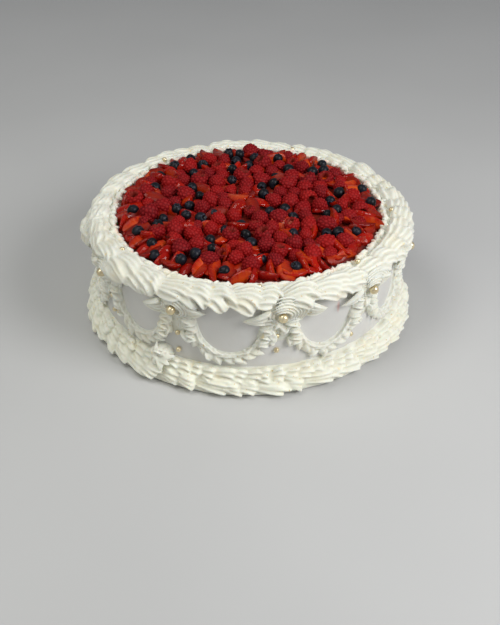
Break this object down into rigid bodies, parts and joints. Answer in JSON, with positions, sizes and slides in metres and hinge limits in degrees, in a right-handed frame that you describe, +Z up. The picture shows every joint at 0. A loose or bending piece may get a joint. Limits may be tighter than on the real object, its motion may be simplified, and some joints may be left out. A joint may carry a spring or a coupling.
{
  "type": "berry cake",
  "caption": "Round cake iced in white cream with piped shell borders, side swags and rosettes with gold sugar pearls, and a heap of mixed berries filling its top.",
  "frame": {"origin": "middle of the cake's flat underside", "axes": "+Z up; the side seen in the picture faces -Y, with +X to its right"},
  "size_m": [0.3427, 0.3403, 0.1256],
  "materials": {
    "smooth_icing": "smooth matte cream icing",
    "piped_cream": "soft satin piped cream",
    "gold_pearl": "pearly champagne gold",
    "berries": "moist red fruit",
    "raspberry": "velvety crimson",
    "strawberry": "wet cut fruit",
    "blueberry": "dark skin with pale bloom"
  },
  "bodies": {
    "root": {"frosted_cake": "smooth_icing", "top_border": "piped_cream", "inner_ruffle": "piped_cream", "foot_border": "piped_cream", "berry_heap": "berries", "swag_01": "piped_cream", "swag_02": "piped_cream", "swag_03": "piped_cream", "swag_04": "piped_cream", "swag_05": "piped_cream", "swag_06": "piped_cream", "swag_07": "piped_cream", "swag_08": "piped_cream", "swag_09": "piped_cream", "swag_10": "piped_cream", "rosette_01": "piped_cream", "rosette_02": "piped_cream", "rosette_03": "piped_cream", "rosette_04": "piped_cream", "rosette_05": "piped_cream", "rosette_06": "piped_cream", "rosette_07": "piped_cream", "rosette_08": "piped_cream", "rosette_09": "piped_cream", "rosette_10": "piped_cream", "pearl_01": "gold_pearl", "pearl_02": "gold_pearl", "pearl_03": "gold_pearl", "pearl_04": "gold_pearl", "pearl_05": "gold_pearl", "pearl_06": "gold_pearl", "pearl_07": "gold_pearl", "pearl_08": "gold_pearl", "pearl_09": "gold_pearl", "pearl_10": "gold_pearl", "cream_flower_1": "piped_cream", "cream_flower_2": "piped_cream"}
  },
  "joints": []
}
